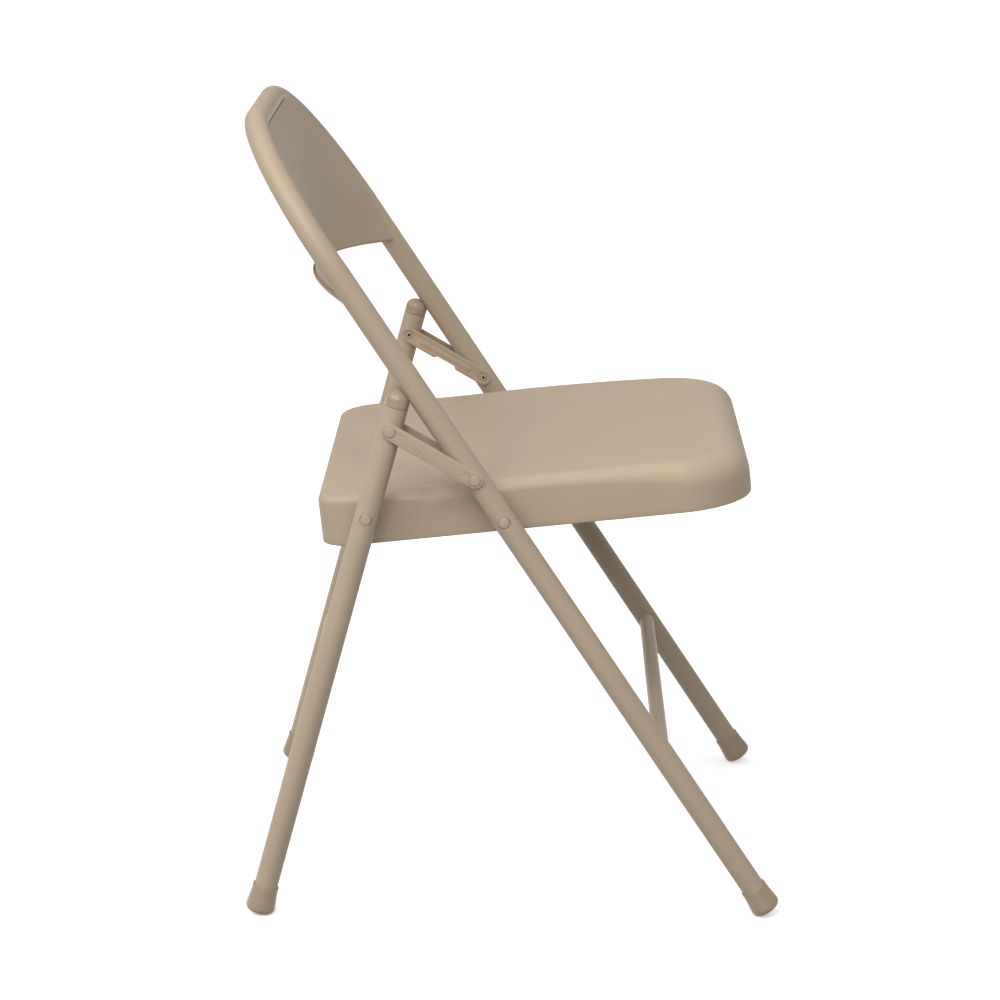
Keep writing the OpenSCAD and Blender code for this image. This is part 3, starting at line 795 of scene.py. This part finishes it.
placed = riveter.node("GeometryNodeInstanceOnPoints", {}, {
    "Points": Wire(rivet_tree, given.outputs["Places"]), "Instance": pattern, "Rotation": turn})
solid = riveter.node("GeometryNodeRealizeInstances", {}, {"Geometry": placed})
coated = riveter.node("GeometryNodeSetMaterial", {}, {
    "Geometry": solid, "Material": Wire(rivet_tree, given.outputs["Finish"])})
riveter.node("NodeGroupOutput", {}, {"Rivets": coated})


def rivets(node, profile, first, last, body):
    """A rivet turned to a profile, at both ends of a pivot, in place of a CAD node."""
    pattern = turned(node + "_pattern", profile, Vector((0, 0, 0)), Vector((0, 0, 1)), rivet_coat,
                     first, last, 64)
    centre = middle(node)
    places = bpy.data.meshes.new(node + "_places")
    places.from_pydata([(side * leg_half, centre.y, centre.z) for side in (-1, 1)], [], [])
    made = grown(node + "_set", places, rivet_tree, {"Rivet": pattern, "Finish": rivet_coat})
    bpy.data.objects.remove(pattern)
    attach(made, body)
    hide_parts(node)


def round_head(seat, r, height):
    """Profile of a low head: a soft collar, a groove darkened with painted shade, then a rounded
    edge up to its crown.
    """
    edge = 0.35 * mm
    # The third values darken the groove under the head with painted shade.
    points = [(r + 0.95 * mm, seat - 0.25 * mm), (r + 0.8 * mm, seat + 0.05 * mm),
              (r + 0.62 * mm, seat + 0.22 * mm), (r + 0.46 * mm, seat + 0.2 * mm, 0.8),
              (r + 0.36 * mm, seat - 0.1 * mm, 1.0), (r + 0.02 * mm, seat - 0.1 * mm, 1.0),
              (r - 0.02 * mm, seat + 0.3 * mm, 0.8), (r - 0.02 * mm, seat + 0.55 * mm)]
    rise = 0.55 * (height - 0.55 * mm)
    points += arc(r - edge, seat + height - rise - edge, edge, 10, 70, 5)
    top = points[-1][1]
    points += [(points[-1][0] * math.cos(math.pi / 2 * k / 10),
                top + (seat + height - top) * math.sin(math.pi / 2 * k / 10)) for k in range(2, 10)]
    return points


shank_r = 3 * mm
roll_r = 0.85 * mm
hole_r = 1.35 * mm
hole_depth = 6 * mm
link_head_r = 4.85 * mm
link_head_h = 1.5 * mm
outer_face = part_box("outer_link_left")[1].x - leg_half
rivet_in = -(leg_half - (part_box("inner_link_left")[0].x + 0.1 * mm))
# The hole of the hollow rivet is darkened with painted shade.
link_rivet = [(hole_r, rivet_in + hole_depth, 1.0), (hole_r, rivet_in + 0.3 * mm, 1.0)]
link_rivet += arc(shank_r - roll_r, rivet_in, roll_r, 180, 360, 12)
link_rivet += [(shank_r, rivet_in + 2 * mm), (shank_r, outer_face - 0.3 * mm)]
link_rivet += round_head(outer_face, link_head_r, link_head_h)
for node, body in (("link_front_rivets", "frame"), ("link_rear_rivets", "rear_legs")):
    rivets(node, link_rivet, rivet_in + hole_depth, outer_face + link_head_h, body)

head_seat = tube_r - 0.8 * mm
seat_head_r = 5.0 * mm
seat_head_h = 1.8 * mm
shank_end = -23.6 * mm
seat_rivet = [(shank_r, shank_end), (shank_r, head_seat - 0.3 * mm)]
seat_rivet += round_head(head_seat, seat_head_r, seat_head_h)
for node, body in (("seat_pivot_rivets", "frame"), ("seat_rear_rivets", "rear_legs")):
    rivets(node, seat_rivet, shank_end, head_seat + seat_head_h, body)

# ---- Under the seat ----
# A steel strap lies inside each skirt and carries the two pivots of its side. A folded channel
# runs between the straps and stiffens the seat. They are spot welded, and painted with the rest.

for node in ("seat_pivot_spacers", "seat_rear_spacers", "seat_rear_studs"):
    coat_node(node, rivet_coat)
softened("seat_channel", "seat_cross_channel", 0.5 * mm, link_coat, "seat")
softened("seat_straps", "seat_pivot_plates", 0.4 * mm, link_coat, "seat")
